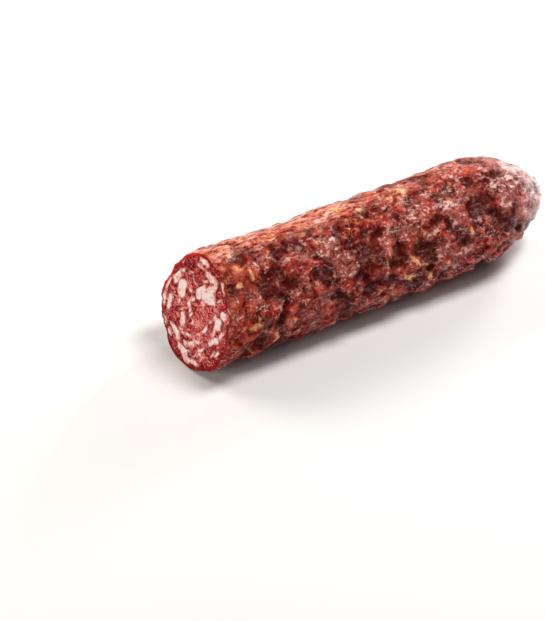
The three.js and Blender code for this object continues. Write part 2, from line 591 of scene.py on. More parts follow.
FAT_PIECES = (
    # The big branching piece over the middle.
    FatPiece(4, 18.7, 4.8, 1.5), FatPiece(7.6, 16.2, 1.3, 2.4), FatPiece(4.2, 13, 4.4, 1.3, 40),
    FatPiece(0, 10, 4, 2.7, 50), FatPiece(6.2, 10.4, 4.2, 2.6, 15), FatPiece(3, 8.3, 4, 1.2, 10),
    # The top and the right side.
    FatPiece(-3.5, 22.6, 3.2, 1.3, 10), FatPiece(-5, 19.8, 2.6, 0.7, 5),
    FatPiece(12.3, 19.5, 3.2, 1, -50), FatPiece(20, 13.8, 3.4, 1.2, -45),
    FatPiece(18.2, 8.3, 2.3, 1.8), FatPiece(12.6, 12.5, 1.3, 0.6, 45),
    FatPiece(16, 3.3, 2.9, 2.2, -70), FatPiece(14.6, -1, 2.8, 1, 80),
    FatPiece(17, -4.2, 3, 1.3, 42), FatPiece(14.3, -7, 1.7, 0.9, 40), FatPiece(20, 0, 2.6, 0.6, 60),
    FatPiece(20.8, -8.7, 2, 0.9, 60), FatPiece(18, -10.5, 1.4, 0.5, 65),
    FatPiece(8.8, -3.6, 2.3, 1, 55),
    # The left side.
    FatPiece(-18.5, 8.2, 3.6, 1.9, 60), FatPiece(-13.3, 4.8, 4.3, 3, 100),
    FatPiece(-13, -0.9, 1.3, 0.8, 90), FatPiece(-19, -4.5, 3.6, 1.5, 95),
    FatPiece(-23.2, 2.6, 4, 1, 84), FatPiece(-23.4, -5.3, 3.4, 1.2, 97),
    FatPiece(-20.3, -14, 2.8, 2.2, 150), FatPiece(-5.7, 2.5, 2.8, 1.1, 75),
    FatPiece(-3.6, 4.4, 1.4, 0.8, 50), FatPiece(-4.6, -0.6, 1.3, 0.8, 90),
    FatPiece(-3.2, -2.4, 1.5, 0.8, 60), FatPiece(-7.4, -7, 3.1, 1.8, 100),
    FatPiece(-7.3, 7, 1.1, 0.9), FatPiece(-10, 9.6, 2.8, 0.4, -45),
    FatPiece(-10.3, 14.3, 1.3, 0.5, 30),
    # The bottom.
    FatPiece(-10, -14.3, 4.5, 1.5, -25), FatPiece(-13.6, -16.4, 2, 0.9, -20),
    FatPiece(-2, -19, 4, 1.7, -10), FatPiece(0.8, -20.8, 4, 1.3, -20),
    FatPiece(3.6, -21.6, 2.5, 1.2, 30), FatPiece(7.8, -20, 2.8, 1.1, 10),
    FatPiece(7, -16.5, 1.9, 0.35, 55), FatPiece(1.8, -14.2, 2.4, 1, 25),
    FatPiece(10, -12.5, 2.9, 0.7, 45), FatPiece(5, -7.5, 2.5, 0.5, 35),
    FatPiece(6, -10.6, 2.5, 0.6, 15), FatPiece(-1, -11, 2.5, 0.5, 10), FatPiece(2.8, 5.8, 1.1, 0.8),
    FatPiece(-10, -3.2, 2, 0.4, 30), FatPiece(-1.5, -15.6, 1.6, 0.7, -20),
    FatPiece(4.6, -12.8, 1.4, 0.6, 30), FatPiece(9.6, -15.4, 1.5, 0.6, 50),
    FatPiece(-4.4, -12.4, 1.6, 0.6, -15), FatPiece(12.4, -15.2, 1.5, 0.6, 50),
    FatPiece(-7.2, -11.2, 1.3, 0.6, 10), FatPiece(2.4, -17.4, 1.4, 0.6, 35),
    FatPiece(13, 4.6, 1.6, 0.5, 75), FatPiece(-0.6, -5.2, 1.3, 0.6, 30),
    FatPiece(10.8, 1.6, 1.2, 0.5, 60), FatPiece(-15.6, 12.4, 2.2, 0.5, 50),
    FatPiece(0.6, 15.4, 1.6, 0.5, 20), FatPiece(-6.4, 12.2, 1.8, 0.5, -30),
)


@dataclass
class CutFace:
    """The flat cut: a net of points across it, the fat pieces and the slight relief the knife left."""

    cut: CutPlane
    rim: Array
    cells: int = 140
    fat_rise: float = 0.1 * MM
    fat_rise_band: Span = (-0.2, 0.5)
    fibre_relief: float = 0.07 * MM
    fibre_grain: Triple = (1.4, 1.4, 0.9)
    flat_rim: Span = (0.93, 0.995)
    wander: float = 0.85
    broad_grain: Triple = (2.6, 2.6, 2.6)
    close_grain: Triple = (1.3, 1.3, 1.3)
    close_share: float = 0.5
    blockiness: float = 3.2
    lift: float = 0.5
    outside: float = -9.0

    def __post_init__(self) -> None:
        """Spreads the net and measures the fat."""
        self.middle = self.rim.mean(axis=0)
        self.middle[0] = self.cut.x_at(self.middle[1], self.middle[2])
        steps = np.linspace(-1, 1, self.cells + 1)
        a, b = np.meshgrid(steps, steps, indexing="ij")
        wide = np.abs(a) >= np.abs(b)
        far = np.where(wide, a, b)
        safe_a = np.where(a == 0, 1, a)
        safe_b = np.where(b == 0, 1, b)
        angle = np.where(wide, math.pi / 4 * b / safe_a, math.pi / 2 - math.pi / 4 * a / safe_b)
        angle = np.where(far < 0, angle + math.pi, angle)
        self.out = np.abs(far)
        self.place_on_rim = (angle % (2 * math.pi)) / (2 * math.pi) * len(self.rim)
        low = np.floor(self.place_on_rim + 1e-6).astype(int)
        part = np.maximum(self.place_on_rim - low, 0)[..., None]
        count = len(self.rim)
        edge = self.rim[low % count] * (1 - part) + self.rim[(low + 1) % count] * part
        self.points = self.middle + self.out[..., None] * (edge - self.middle)
        self.fat = self.fat_depth()
        self.points = self.points + self.relief()[..., None] * np.array(self.cut.normal)

    def shift(self, away: float) -> Array:
        """Gives how far off each point reads the fat pieces, so that they come out ragged.

        Args:
            away: How far the noise is slid, in metres, so that two readings differ.

        Returns:
            The distance in millimetres for each point.
        """
        flat = self.points.reshape(-1, 3) + away
        mixed = sample(flat, self.broad_grain) + self.close_share * sample(flat, self.close_grain)
        return (self.wander * mixed).reshape(self.out.shape)

    def fat_depth(self) -> Array:
        """Measures how deep inside a fat piece each point lies.

        Returns:
            The depth in millimetres, below 0 outside the pieces.
        """
        right = (self.cut.point.y - self.points[..., 1]) / MM + self.shift(0)
        up = (self.points[..., 2] - self.cut.point.z) / MM + self.lift + self.shift(0.1)
        depth = np.full(self.out.shape, self.outside)
        power = self.blockiness
        for piece in FAT_PIECES:
            turn = math.radians(piece.turn)
            along = (right - piece.right) * math.cos(turn) + (up - piece.up) * math.sin(turn)
            side = (up - piece.up) * math.cos(turn) - (right - piece.right) * math.sin(turn)
            far = np.abs(along / piece.long) ** power + np.abs(side / piece.wide) ** power
            depth = np.maximum(depth, (1 - far ** (1 / power)) * piece.wide)
        return depth

    def relief(self) -> Array:
        """Gives the height over the plane of the cut, none at the rim.

        Returns:
            The height of each point in metres.
        """
        fibres = sample(self.points.reshape(-1, 3), self.fibre_grain).reshape(self.out.shape)
        inside = 1 - ease(self.out, *self.flat_rim)
        rise = self.fat_rise * ease(self.fat, *self.fat_rise_band)
        return (rise + self.fibre_relief * fibres) * inside


# --------------------------------------------------------------------------------------------------
# Finishes
# --------------------------------------------------------------------------------------------------


@dataclass(frozen=True)
class Pattern:
    """A noise pattern over the object's own coordinates.

    size is that of its features in metres, detail the number of finer octaves, rough their strength and
    warp how much the pattern bends itself. drift tells patterns of one size apart, and scale stretches one
    along an axis.
    """

    size: float
    detail: float = 2.0
    rough: float = 0.55
    warp: float = 0.0
    drift: float = 0.0
    scale: tuple[float, float, float] | None = None


@dataclass(frozen=True)
class Edge:
    """How a patch ends: how ragged its outline is, and the shares between which it comes in."""

    ragged: float
    low: float
    high: float


class NodeDesk:
    """A short way to lay out one material's nodes over the object's own coordinates."""

    def __init__(self, name: str) -> None:
        """Starts an empty material with its output and its shader.

        Args:
            name: The material's name.
        """
        self.material = bpy.data.materials.new(name)
        self.material.use_nodes = True
        self.tree = self.material.node_tree
        self.tree.nodes.clear()
        self.shader = self.tree.nodes.new("ShaderNodeBsdfPrincipled")
        output = self.tree.nodes.new("ShaderNodeOutputMaterial")
        self.tree.links.new(self.shader.outputs["BSDF"], output.inputs["Surface"])
        self.place = self.tree.nodes.new("ShaderNodeTexCoord").outputs["Object"]

    def feed(self, socket: Socket, value: object) -> None:
        """Links a socket to another one, or sets it to a plain value.

        Args:
            socket: The socket to feed.
            value: Another socket or a plain value.
        """
        if isinstance(value, Socket):
            self.tree.links.new(value, socket)
        else:
            socket.default_value = value

    def put(self, node: bpy.types.Node, **inputs: object) -> None:
        """Sets or links a node's inputs, named with _ for a space."""
        for name, value in inputs.items():
            self.feed(node.inputs[name.replace("_", " ")], value)

    def noise(self, pattern: Pattern) -> Socket:
        """Adds a noise texture.

        Args:
            pattern: The pattern to draw.

        Returns:
            The noise from 0 to 1.
        """
        place = self.place
        if pattern.scale:
            mapping = self.tree.nodes.new("ShaderNodeMapping")
            self.put(mapping, Vector=self.place, Scale=pattern.scale)
            place = mapping.outputs["Vector"]
        texture = self.tree.nodes.new("ShaderNodeTexNoise")
        texture.noise_dimensions = "4D"
        self.put(texture, Vector=place, W=pattern.drift, Scale=1 / pattern.size)
        self.put(texture, Detail=pattern.detail, Roughness=pattern.rough, Distortion=pattern.warp)
        return texture.outputs["Fac"]

    def ridges(self, pattern: Pattern, width: float) -> Socket:
        """Draws thin lines where a pattern crosses its middle value."""
        off = self.minus(self.noise(pattern), 0.5)
        return self.band(self.maths("ABSOLUTE", off, 0), width, 0.0)

    def band(self, value: Socket, low: float, high: float) -> Socket:
        """Rises smoothly from 0 to 1, or falls where low is the larger.

        Args:
            value: What is read.
            low: Where the result is 0.
            high: Where the result is 1.

        Returns:
            The result.
        """
        node = self.tree.nodes.new("ShaderNodeMapRange")
        node.interpolation_type = "SMOOTHSTEP"
        falls = low > high
        self.put(node, Value=value, From_Min=min(low, high), From_Max=max(low, high))
        self.put(node, To_Min=float(falls), To_Max=float(not falls))
        return node.outputs["Result"]

    def maths(self, kind: str, a: object, b: object) -> Socket:
        """Adds a Math node.

        Args:
            kind: What it does.
            a: Its first value.
            b: Its second value.

        Returns:
            The result.
        """
        node = self.tree.nodes.new("ShaderNodeMath")
        node.operation = kind
        self.feed(node.inputs[0], a)
        self.feed(node.inputs[1], b)
        return node.outputs["Value"]

    def times(self, a: object, b: object) -> Socket:
        """Multiplies two values."""
        return self.maths("MULTIPLY", a, b)

    def plus(self, a: object, b: object) -> Socket:
        """Adds two values."""
        return self.maths("ADD", a, b)

    def minus(self, a: object, b: object) -> Socket:
        """Takes the second value from the first."""
        return self.maths("SUBTRACT", a, b)

    def most(self, a: object, b: object) -> Socket:
        """Gives the larger of two values."""
        return self.maths("MAXIMUM", a, b)

    def without(self, share: Socket, part: float) -> Socket:
        """Gives what is left of 1 once a part of a share is taken off."""
        return self.minus(1.0, self.times(share, part))

    def swing(self, noise_value: Socket, reach: float) -> Socket:
        """Turns a noise from 0 to 1 into one round 0 with the given reach."""
        return self.times(self.minus(noise_value, 0.5), reach)

    def mix(self, share: object, a: object, b: object) -> Socket:
        """Mixes two colours.

        Args:
            share: How much of the second is taken.
            a: The first colour.
            b: The second colour.

        Returns:
            The mixed colour.
        """
        node = self.tree.nodes.new("ShaderNodeMix")
        node.data_type = "RGBA"
        for socket, value in zip((node.inputs[0], node.inputs[6], node.inputs[7]), (share, a, b)):
            self.feed(socket, value)
        return node.outputs[2]

    def ramp(self, value: Socket, stops: Stops) -> Socket:
        """Colours a value by stops.

        Args:
            value: What is read.
            stops: The values and their colours, in rising order.

        Returns:
            The colour.
        """
        node = self.tree.nodes.new("ShaderNodeValToRGB")
        elements = node.color_ramp.elements
        for _ in range(len(stops) - 2):
            elements.new(0.5)
        for element, (place, _) in zip(elements, stops):
            element.position = place
        for element, (_, colour) in zip(elements, stops):
            element.color = colour
        self.put(node, Fac=value)
        return node.outputs["Color"]

    def layer(self, name: str) -> Socket:
        """Reads one of the mesh's own layers.

        Args:
            name: The layer's name.

        Returns:
            Its value.
        """
        node = self.tree.nodes.new("ShaderNodeAttribute")
        node.attribute_name = name
        return node.outputs["Fac"]

    def bump(self, height: Socket, depth: float) -> Socket:
        """Bends the normal by a height.

        Args:
            height: The height, from 0 to 1.
            depth: How deep 1 is, in metres.

        Returns:
            The bent normal.
        """
        node = self.tree.nodes.new("ShaderNodeBump")
        self.put(node, Height=height, Distance=depth, Strength=1.0)
        return node.outputs["Normal"]


@dataclass(frozen=True)
class CasingFinish:
    """The dried casing: maroon leather over lean and fat, with pale bloom, an oily gloss, and painted sheen,
    highlights, glints and shade.

    A share says how far a coat hides what is under it, an until or from where along the log it runs in
    millimetres from the cut, and a band over which values of its pattern it comes in.
    """

    # The leather and what shows through it.
    maroon: Colour = paint(118, 30, 23)
    dark: Colour = paint(74, 10, 8)
    ruddy: Colour = paint(152, 56, 45)
    blood: Colour = paint(116, 17, 15)
    lean: Colour = paint(154, 34, 26)
    ember: Colour = paint(194, 76, 56)
    fresh: Colour = paint(194, 66, 34)
    # Painted shade for the cracks and the pits.
    crease_shade: Colour = paint(54, 9, 6)
    leather_tones: Stops = ((0.42, dark), (0.5, maroon), (0.59, ruddy))
    lump_tones: Stops = ((0.4, blood), (0.5, lean), (0.62, ember))
    leather: Pattern = Pattern(7 * MM, 3, 0.6, 0.6)
    lumps: Pattern = Pattern(4.6 * MM, 2, 0.5, 0.5, 46.0)
    ragged: Pattern = Pattern(2.4 * MM, 3, 0.65, 0.8, 3.0)
    fine: Pattern = Pattern(1.3 * MM, 2, 0.6, 0.3, 5.0)
    lean_edge: Edge = Edge(0.7, 0.1, 1.2)
    hollow_edge: Edge = Edge(0.8, 0.1, 0.9)
    fresh_until: Span = (44, 8)
    fresh_band: Span = (0.47, 0.6)
    fresh_share: float = 0.55
    # How dark the hollows are painted: their darker lean, with painted shade.
    hollow_share: float = 0.8
    hollow_hides_bloom_and_sheen: float = 0.8

    # Fat under the casing.
    halo: Colour = paint(190, 78, 42)
    amber: Colour = paint(228, 138, 66)
    cream: Colour = paint(250, 220, 166)
    fat_tones: Stops = ((0.4, amber), (0.64, cream))
    fat_edge: Edge = Edge(1.6, 0.45, 1.0)
    halo_edge: Edge = Edge(1.2, 0.1, 0.8)
    flecks: Pattern = Pattern(2.6 * MM, 1, 0.5, 0.8, 40.0)
    sowing: Pattern = Pattern(16 * MM, 1, 0.5, 0.4, 43.0)
    fleck_band: Span = (0.62, 0.67)
    sowing_band: Span = (0.42, 0.6)
    halo_share: float = 0.6
    fat_share: float = 0.8
    fleck_share: float = 0.5

    # The streaky crown, lightened by painted sheen on the top side, and the line behind the cut with its
    # painted highlight.
    flush: Colour = paint(182, 78, 64)
    salmon: Colour = paint(228, 144, 116)
    petal: Colour = paint(248, 206, 178)
    crown_tones: Stops = ((0.36, maroon), (0.42, lean), (0.48, flush), (0.54, salmon), (0.64, petal))
    rim_tones: Stops = ((0.46, halo), (0.68, salmon))
    streaks: Pattern = Pattern(2.2 * MM, 3, 0.6, 0.7, 6.0, (0.26, 1, 1))
    crown_share: float = 0.8
    rim_until: Span = (2.6, 0.4)
    rim_swing: float = 20.0
    rim_share: float = 0.6

    # Bloom with painted sheen, painted highlights along the wrinkles, painted shade in the cracks, and
    # painted glints.
    mauve_sheen: Colour = paint(190, 106, 96)
    bloom_and_sheen: Colour = paint(244, 208, 200)
    wrinkle_highlight: Colour = paint(222, 142, 118)
    # Colours of the painted glints, nearer the cut and farther along.
    near_glint: Colour = paint(236, 144, 106)
    far_glint: Colour = paint(236, 160, 144)
    bloom_and_sheen_edge: Edge = Edge(1.2, 0.2, 1.1)
    bloom_and_sheen_share: float = 0.42
    wrinkles: Pattern = Pattern(4.4 * MM, 1, 0.4, 0.8, 24.0)
    short_wrinkles: Pattern = Pattern(3.2 * MM, 1, 0.4, 0.8, 27.0)
    cracks: Pattern = Pattern(5.0 * MM, 1, 0.4, 0.8, 36.0)
    breaks: Pattern = Pattern(3.6 * MM, 1, 0.5, 0.5, 33.0)
    clusters: Pattern = Pattern(9 * MM, 2, 0.5, 0.6, 30.0)
    wrinkle_width: float = 0.05
    short_wrinkle_width: float = 0.055
    crack_width: float = 0.045
    wrinkle_breaks: Span = (0.47, 0.53)
    short_wrinkle_breaks: Span = (0.52, 0.46)
    crack_breaks: Span = (0.55, 0.47)
    cluster_band: Span = (0.43, 0.58)
    raised_sheen_band: Span = (0.5, 0.9)
    glint_band: Span = (0.53, 0.59)
    crack_shade_share: float = 0.7
    wrinkle_highlight_share: float = 0.4
    raised_sheen_wrinkles: float = 0.35
    aged_wrinkles: float = 0.25
    cluster_wrinkles: float = 0.8
    bloom_and_sheen_wrinkles: float = 0.9
    lean_smooths: float = 0.35
    hollow_smooths: float = 0.6
    wrinkle_paleness: float = 0.6
    raised_glints: float = 0.36
    pale_glints: float = 0.55

    # The tip, whitened by bloom and by painted sheen, and what changes along the log.
    tip_pink: Colour = paint(212, 158, 154)
    frost_and_sheen: Colour = paint(252, 238, 234)
    swing_along: float = 70.0
    aged_from: Span = (60, 150)
    tip_from: Span = (148, 178)
    whitening_from: Span = (162, 190)
    tip_share: float = 0.3
    whitening_share: float = 0.78

    # Small relief, painted shade in the valleys and pits, and shine.
    blobs: Pattern = Pattern(2.7 * MM, 3, 0.62, 1.2, 12.0)
    pulled: Pattern = Pattern(2.9 * MM, 3, 0.62, 1.0, 18.0, (0.45, 1, 1))
    valley_shade_band: Span = (0.5, 0.2)
    valley_shade_share: float = 0.55
    pit_shade_band: Span = (0.47, 0.38)
    pit_shade_share: float = 0.7
    meat_eases_pit_shade: float = 0.5
    whitening_eases_pit_shade: float = 0.6
    relief_depth: float = 1.0 * MM
    gloss_depth: float = 3.2 * MM
    gloss_band: Span = (0.48, 0.55)
    gloss: float = 0.9
    gloss_roughness: float = 0.13
    roughness: float = 0.32
    specular: float = 0.03

    def make(self) -> bpy.types.Material:
        """Paints the material."""
        return CasingPainter(self).lay_coats()


class CasingPainter:
    """Paints a casing finish, one coat over another."""

    def __init__(self, finish: CasingFinish) -> None:
        """Starts the material and works out where its coats go.

        Args:
            finish: The finish to paint.
        """
        self.finish = finish
        self.desk = desk = NodeDesk("cured_casing")
        leather = desk.noise(finish.leather)
        self.colour = desk.ramp(leather, finish.leather_tones)
        self.ragged = desk.noise(finish.ragged)
        self.fine = desk.noise(finish.fine)
        self.lean = self.edge("lean", finish.lean_edge)
        self.fat = self.edge("fat", finish.fat_edge)
        self.hollow = self.edge("hollow", finish.hollow_edge)
        clear = desk.without(self.hollow, finish.hollow_hides_bloom_and_sheen)
        self.bloom_and_sheen = desk.times(self.edge("bloom_and_sheen", finish.bloom_and_sheen_edge), clear)
        self.past = desk.plus(desk.layer("from_cut"), desk.swing(leather, finish.swing_along))
        self.aged = desk.band(self.past, *finish.aged_from)
        self.tip = desk.band(self.past, *finish.tip_from)
        self.end = desk.band(self.past, *finish.whitening_from)
        self.raised = desk.layer("raised")
        self.height = desk.times(desk.plus(desk.noise(finish.blobs), desk.noise(finish.pulled)), 0.5)

    def edge(self, layer: str, edge: Edge) -> Socket:
        """Reads a layer with a ragged outline."""
        wander = self.desk.swing(self.ragged, edge.ragged)
        return self.desk.band(self.desk.plus(self.desk.layer(layer), wander), edge.low, edge.high)

    def lay_coats(self) -> bpy.types.Material:
        """Lays every coat in order, then the relief and the gloss.

        Returns:
            The finished material.
        """
        desk, finish = self.desk, self.finish
        self.add_lean()
        # Bloom, with painted sheen: soft pale patches on the lumps.
        self.cover(self.bloom_and_sheen, finish.bloom_and_sheen_share, finish.mauve_sheen)
        # The hollows darker: the lean's own darker tone, with painted shade.
        self.cover(self.hollow, finish.hollow_share, finish.dark)
        # The crown's streaks, lightened by painted sheen on the top side.
        streaks = desk.ramp(desk.noise(finish.streaks), finish.crown_tones)
        self.cover(desk.layer("crown"), finish.crown_share, streaks)
        self.add_fat()
        self.paint_wrinkle_light()
        self.whiten_tip()
        self.add_painted_shade()
        self.add_rim()
        desk.put(desk.shader, Base_Color=self.colour)
        gloss = desk.times(desk.band(self.height, *finish.gloss_band), finish.gloss)
        desk.put(desk.shader, Coat_Weight=gloss, Coat_Roughness=finish.gloss_roughness)
        desk.put(desk.shader, Roughness=finish.roughness, Specular_IOR_Level=finish.specular)
        desk.put(desk.shader, Normal=desk.bump(self.height, finish.relief_depth))
        desk.put(desk.shader, Coat_Normal=desk.bump(self.height, finish.gloss_depth))
        return desk.material

    def cover(self, where: Socket, share: float, coat: object) -> None:
        """Lays a coat over the others, where it goes and as far as it hides them."""
        self.colour = self.desk.mix(self.desk.times(where, share), self.colour, coat)

    def add_lean(self) -> None:
        """Adds the lean lumps, brighter and redder near the cut."""
        desk, finish = self.desk, self.finish
        tone = desk.noise(finish.lumps)
        self.cover(self.lean, 1.0, desk.ramp(tone, finish.lump_tones))
        fresh = desk.times(desk.band(self.past, *finish.fresh_until), desk.band(tone, *finish.fresh_band))
        self.cover(fresh, finish.fresh_share, finish.fresh)

    def add_fat(self) -> None:
        """Adds the fat that shows through, its orange halo and small amber flecks."""
        desk, finish = self.desk, self.finish
        self.cover(self.edge("fat", finish.halo_edge), finish.halo_share, finish.halo)
        self.cover(self.fat, finish.fat_share, desk.ramp(self.fine, finish.fat_tones))
        flecks = desk.band(desk.noise(finish.flecks), *finish.fleck_band)
        sown = desk.band(desk.noise(finish.sowing), *finish.sowing_band)
        self.cover(desk.times(flecks, sown), finish.fleck_share, finish.amber)

    def paint_wrinkle_light(self) -> None:
        """Adds painted shade in the cracks, painted highlights along the wrinkles, and painted glints on
        whatever stands out.
        """
        desk, finish = self.desk, self.finish
        clusters = desk.band(desk.noise(finish.clusters), *finish.cluster_band)
        # Painted highlights along the wrinkles: more on raised places, farther along, in clusters and in the
        # bloom, fewer on lean and in hollows.
        raised_sheen = desk.times(desk.band(self.raised, *finish.raised_sheen_band), finish.raised_sheen_wrinkles)
        thick = desk.plus(raised_sheen, desk.times(self.aged, finish.aged_wrinkles))
        thick = desk.plus(thick, desk.times(clusters, finish.cluster_wrinkles))
        thick = desk.times(thick, desk.without(self.lean, finish.lean_smooths))
        thick = desk.times(thick, desk.without(self.hollow, finish.hollow_smooths))
        thick = desk.most(thick, desk.times(self.bloom_and_sheen, finish.bloom_and_sheen_wrinkles))
        breaks = desk.noise(finish.breaks)
        long = desk.ridges(finish.wrinkles, finish.wrinkle_width)
        long = desk.times(long, desk.band(breaks, *finish.wrinkle_breaks))
        short = desk.ridges(finish.short_wrinkles, finish.short_wrinkle_width)
        short = desk.times(short, desk.band(breaks, *finish.short_wrinkle_breaks))
        cracks = desk.ridges(finish.cracks, finish.crack_width)
        cracks = desk.times(cracks, desk.band(breaks, *finish.crack_breaks))
        wrinkles = desk.times(desk.most(long, short), thick)
        # Painted shade in the cracks.
        self.cover(cracks, finish.crack_shade_share, finish.crease_shade)
        self.cover(wrinkles, finish.wrinkle_highlight_share, finish.wrinkle_highlight)
        # Painted glints on the high points of the small relief, whiter in the bloom, at the tip and where
        # wrinkle highlights are dense.
        pale = desk.most(self.bloom_and_sheen, self.tip)
        pale = desk.most(pale, desk.times(thick, finish.wrinkle_paleness))
        share = desk.times(self.raised, finish.raised_glints)
        share = desk.plus(share, desk.times(pale, finish.pale_glints))
        painted_glints = desk.times(desk.band(self.height, *finish.glint_band), share)
        glint = desk.mix(self.aged, finish.near_glint, finish.far_glint)
        self.cover(painted_glints, 1.0, desk.mix(pale, glint, finish.bloom_and_sheen))

    def whiten_tip(self) -> None:
        """Whitens the tip: white bloom, with painted sheen over it."""
        self.cover(self.tip, self.finish.tip_share, self.finish.tip_pink)
        self.cover(self.end, self.finish.whitening_share, self.finish.frost_and_sheen)

    def add_painted_shade(self) -> None:
        """Paints shade into the valleys between the lumps and into the small pits, less in meat, fat and
        towards the whitened tip.
        """
        desk, finish = self.desk, self.finish
        # Painted shade in the valleys between the lumps, then in the small pits.
        self.cover(desk.band(self.raised, *finish.valley_shade_band), finish.valley_shade_share, finish.dark)
        meat = desk.times(desk.most(self.fat, self.lean), finish.meat_eases_pit_shade)
        pit_shade = desk.minus(finish.pit_shade_share, meat)
        pit_shade = desk.times(pit_shade, desk.without(self.end, finish.whitening_eases_pit_shade))
        self.cover(desk.times(desk.band(self.height, *finish.pit_shade_band), pit_shade), 1.0, finish.crease_shade)

    def add_rim(self) -> None:
        """Adds the orange and salmon line just behind the cut: the casing's thin edge, with a painted
        highlight along it, strongest at the top.
        """
        desk, finish = self.desk, self.finish
        near = desk.plus(desk.layer("from_cut"), desk.swing(self.ragged, finish.rim_swing))
        rim = desk.times(desk.band(near, *finish.rim_until), desk.layer("shoulder"))
        self.cover(rim, finish.rim_share, desk.ramp(self.fine, finish.rim_tones))


@dataclass(frozen=True)
class CutFinish:
    """The cut: white to pinkish fat in streaky red lean, moist, inside a dark rim with painted light shining
    through it on one side.
    """

    deep: Colour = paint(104, 3, 10)
    lean: Colour = paint(166, 28, 34)
    warm_lean: Colour = paint(190, 72, 70)
    pale_lean: Colour = paint(216, 128, 120)
    fat: Colour = paint(233, 212, 205)
    pink_fat: Colour = paint(222, 172, 162)
    rim: Colour = paint(122, 6, 12)
    # Painted light: the rim where it is lit through the casing, on its upper back side.
    glow: Colour = paint(196, 28, 18)
    lean_tones: Stops = ((0.42, deep), (0.475, lean), (0.53, warm_lean), (0.6, pale_lean))
    fat_tones: Stops = ((0.36, pale_lean), (0.43, pink_fat), (0.52, fat))
    streaks: Pattern = Pattern(2.3 * MM, 3, 0.6, 1.8, 0.0, (1, 0.8, 1.3))
    veins: Pattern = Pattern(4.6 * MM, 1, 0.4, 1.2, 3.0, (1, 0.8, 1.3))
    flecks: Pattern = Pattern(1.9 * MM, 2, 0.6, 2.0, 9.0, (1, 0.8, 1.3))
    fine: Pattern = Pattern(0.9 * MM, 2, 0.6, 0.4, 4.0)
    broad: Pattern = Pattern(7 * MM, 2, 0.5, 0.5, 7.0)
    mottle: Pattern = Pattern(2.6 * MM, 3, 0.6, 1.0, 2.0)
    vein_width: float = 0.045
    vein_band: Span = (0.4, 0.55)
    fleck_band: Span = (0.585, 0.64)
    fleck_share: float = 0.8
    broad_swing: float = 0.35
    inner_band: Span = (0.95, 0.45)
    inner_middle: float = 0.55
    inner_swing: float = 0.06
    outline_band: Span = (-1.1, -0.5)
    outline_breaks: Span = (0.56, 0.44)
    outline_share: float = 0.7
    fringe_band: Span = (-0.5, 0.0)
    fringe_share: float = 0.6
    fat_band: Span = (-0.1, 0.45)
    rim_swing: float = 0.14
    rim_band: Span = (0.925, 0.965)
    rim_share: float = 0.9
    fine_relief: float = 0.4
    relief_depth: float = 0.5 * MM
    roughness: float = 0.3
    specular: float = 0.02
    gloss: float = 0.02
    gloss_roughness: float = 0.12

    def make(self) -> bpy.types.Material:
        """Lays out the material's nodes: lean, then fat, then the rim.

        Returns:
            The finished material.
        """
        desk = NodeDesk("cut_meat_and_fat")
        streaks = desk.noise(self.streaks)
        fine = desk.noise(self.fine)
        broad = desk.noise(self.broad)
        colour = self.lean_meat(desk, streaks, broad)
        ragged = desk.minus(desk.plus(streaks, fine), 1.0)
        depth = desk.plus(desk.layer("cut_fat"), ragged)
        outline = desk.band(depth, *self.outline_band)
        outline = desk.times(outline, desk.band(broad, *self.outline_breaks))
        colour = desk.mix(desk.times(outline, self.outline_share), colour, self.deep)
        fringe = desk.times(desk.band(depth, *self.fringe_band), self.fringe_share)
        colour = desk.mix(fringe, colour, self.pale_lean)
        fat = desk.ramp(desk.noise(self.mottle), self.fat_tones)
        colour = desk.mix(desk.band(depth, *self.fat_band), colour, fat)
        # The dark rim, brighter red where light is painted shining through it.
        edge = desk.mix(desk.layer("glow"), self.rim, self.glow)
        ring = desk.plus(desk.layer("rim"), desk.swing(streaks, self.rim_swing))
        ring = desk.times(desk.band(ring, *self.rim_band), self.rim_share)
        desk.put(desk.shader, Base_Color=desk.mix(ring, colour, edge))
        desk.put(desk.shader, Roughness=self.roughness, Specular_IOR_Level=self.specular)
        desk.put(desk.shader, Coat_Weight=self.gloss, Coat_Roughness=self.gloss_roughness)
        height = desk.plus(streaks, desk.times(fine, self.fine_relief))
        desk.put(desk.shader, Normal=desk.bump(height, self.relief_depth))
        return desk.material

    def lean_meat(self, desk: NodeDesk, streaks: Socket, broad: Socket) -> Socket:
        """Gives the streaky lean, paler in the middle, with dark veins and small flecks of fat.

        Args:
            desk: The material being laid out.
            streaks: The pattern of the fibres.
            broad: A broad pattern that varies them.

        Returns:
            The colour.
        """
        inner = desk.minus(desk.band(desk.layer("rim"), *self.inner_band), self.inner_middle)
        tone = desk.plus(streaks, desk.swing(broad, self.broad_swing))
        tone = desk.plus(tone, desk.times(inner, self.inner_swing))
        colour = desk.ramp(tone, self.lean_tones)
        veins = desk.times(desk.ridges(self.veins, self.vein_width), desk.band(broad, *self.vein_band))
        colour = desk.mix(veins, colour, self.deep)
        flecks = desk.band(desk.noise(self.flecks), *self.fleck_band)
        return desk.mix(desk.times(flecks, self.fleck_share), colour, self.pink_fat)


# --------------------------------------------------------------------------------------------------
# The log and the studio
# --------------------------------------------------------------------------------------------------


